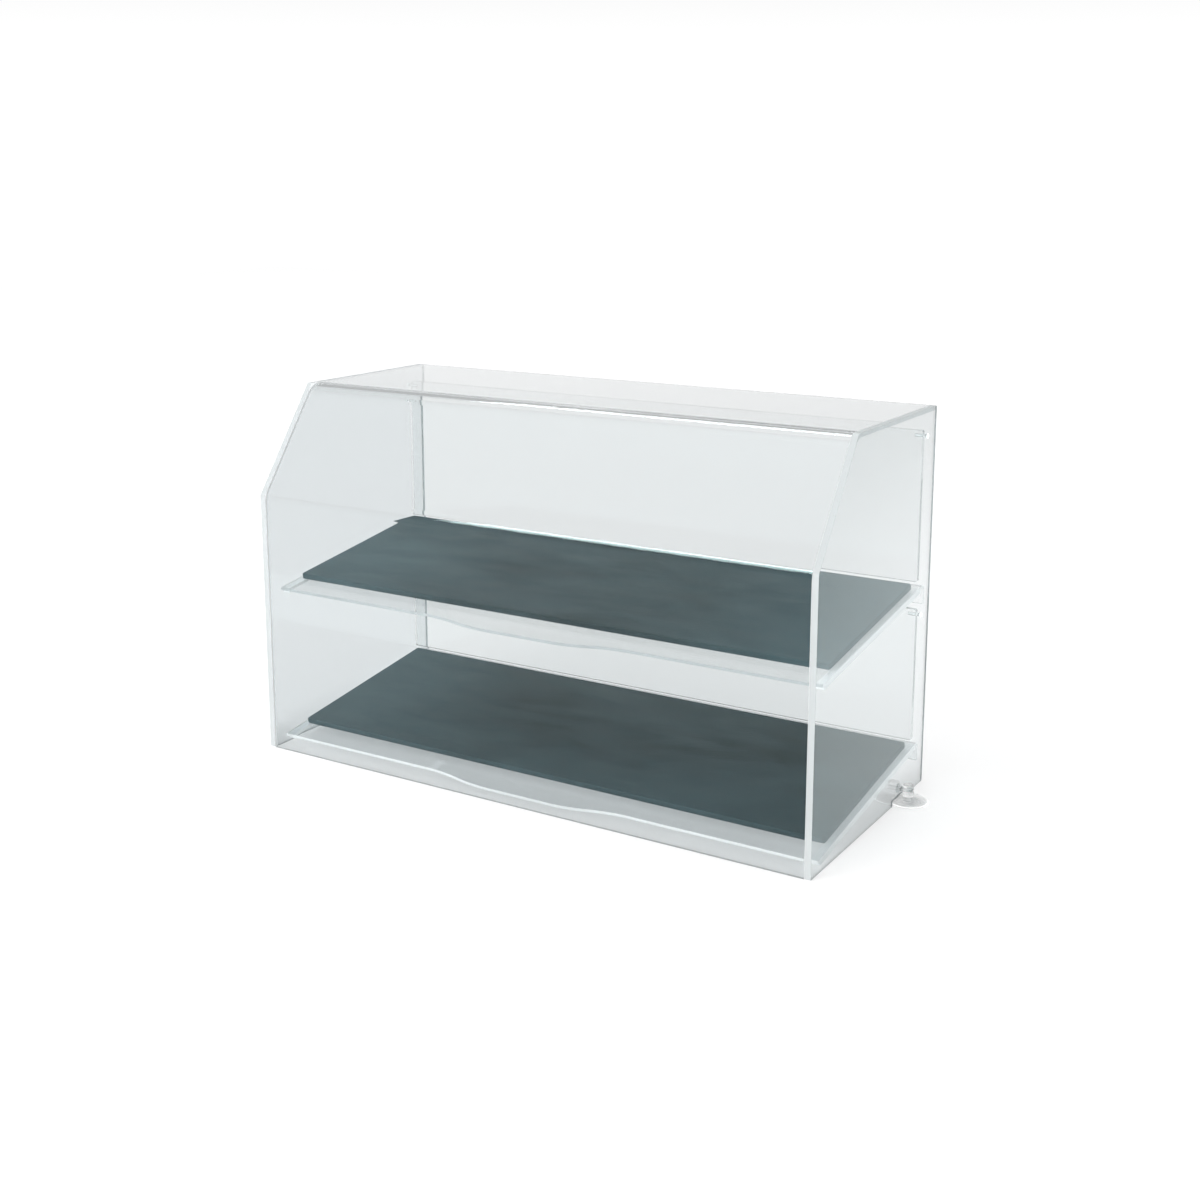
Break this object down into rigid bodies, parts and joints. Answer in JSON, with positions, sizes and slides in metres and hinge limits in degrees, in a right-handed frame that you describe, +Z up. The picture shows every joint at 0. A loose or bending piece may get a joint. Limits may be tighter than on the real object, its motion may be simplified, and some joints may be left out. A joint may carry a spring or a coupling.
{
  "type": "countertop display case",
  "caption": "Clear acrylic countertop display case with a sloped bent front, sloping shelves with slate-look trays and hinged rear doors.",
  "frame": {"origin": "middle of the case's footprint, on the counter", "axes": "+X to the right of a customer who faces the case, +Y to the rear, where the doors are, +Z up"},
  "size_m": [0.675, 0.268, 0.378],
  "materials": {
    "clear_acrylic": "clear, polished",
    "slate_melamine": "matt, slate texture",
    "clear_vinyl": "clear, soft",
    "clear_nylon": "smooth"
  },
  "bodies": {
    "case": {"left_side_panel": "clear_acrylic", "right_side_panel": "clear_acrylic", "hood": "clear_acrylic", "upper_shelf": "clear_acrylic", "upper_shelf_left_rail": "clear_acrylic", "upper_shelf_right_rail": "clear_acrylic", "lower_shelf": "clear_acrylic", "lower_shelf_left_rail": "clear_acrylic", "lower_shelf_right_rail": "clear_acrylic", "upper_left_hinge_pin": "clear_acrylic", "upper_right_hinge_pin": "clear_acrylic", "lower_left_hinge_pin": "clear_acrylic", "lower_right_hinge_pin": "clear_acrylic", "left_suction_cup": "clear_vinyl", "right_suction_cup": "clear_vinyl", "left_cup_pin": "clear_nylon", "right_cup_pin": "clear_nylon"},
    "upper_door": {"upper_door": "clear_acrylic"},
    "lower_door": {"lower_door": "clear_acrylic"},
    "upper_tray": {"upper_tray": "slate_melamine"},
    "lower_tray": {"lower_tray": "slate_melamine"}
  },
  "joints": [
    {"name": "upper_door_hinge", "type": "hinge", "parent": "case", "child": "upper_door", "pos_m": [0, 0.1095, 0.352], "axis": [1, 0, 0], "range_deg": [0, 125]},
    {"name": "lower_door_hinge", "type": "hinge", "parent": "case", "child": "lower_door", "pos_m": [0, 0.1095, 0.17739], "axis": [1, 0, 0], "range_deg": [0, 106]},
    {"name": "upper_tray_lift", "type": "slide", "parent": "case", "child": "upper_tray", "axis": [0, 0, 1], "range_m": [0, 0.04]},
    {"name": "lower_tray_lift", "type": "slide", "parent": "case", "child": "lower_tray", "axis": [0, 0, 1], "range_m": [0, 0.04]}
  ]
}
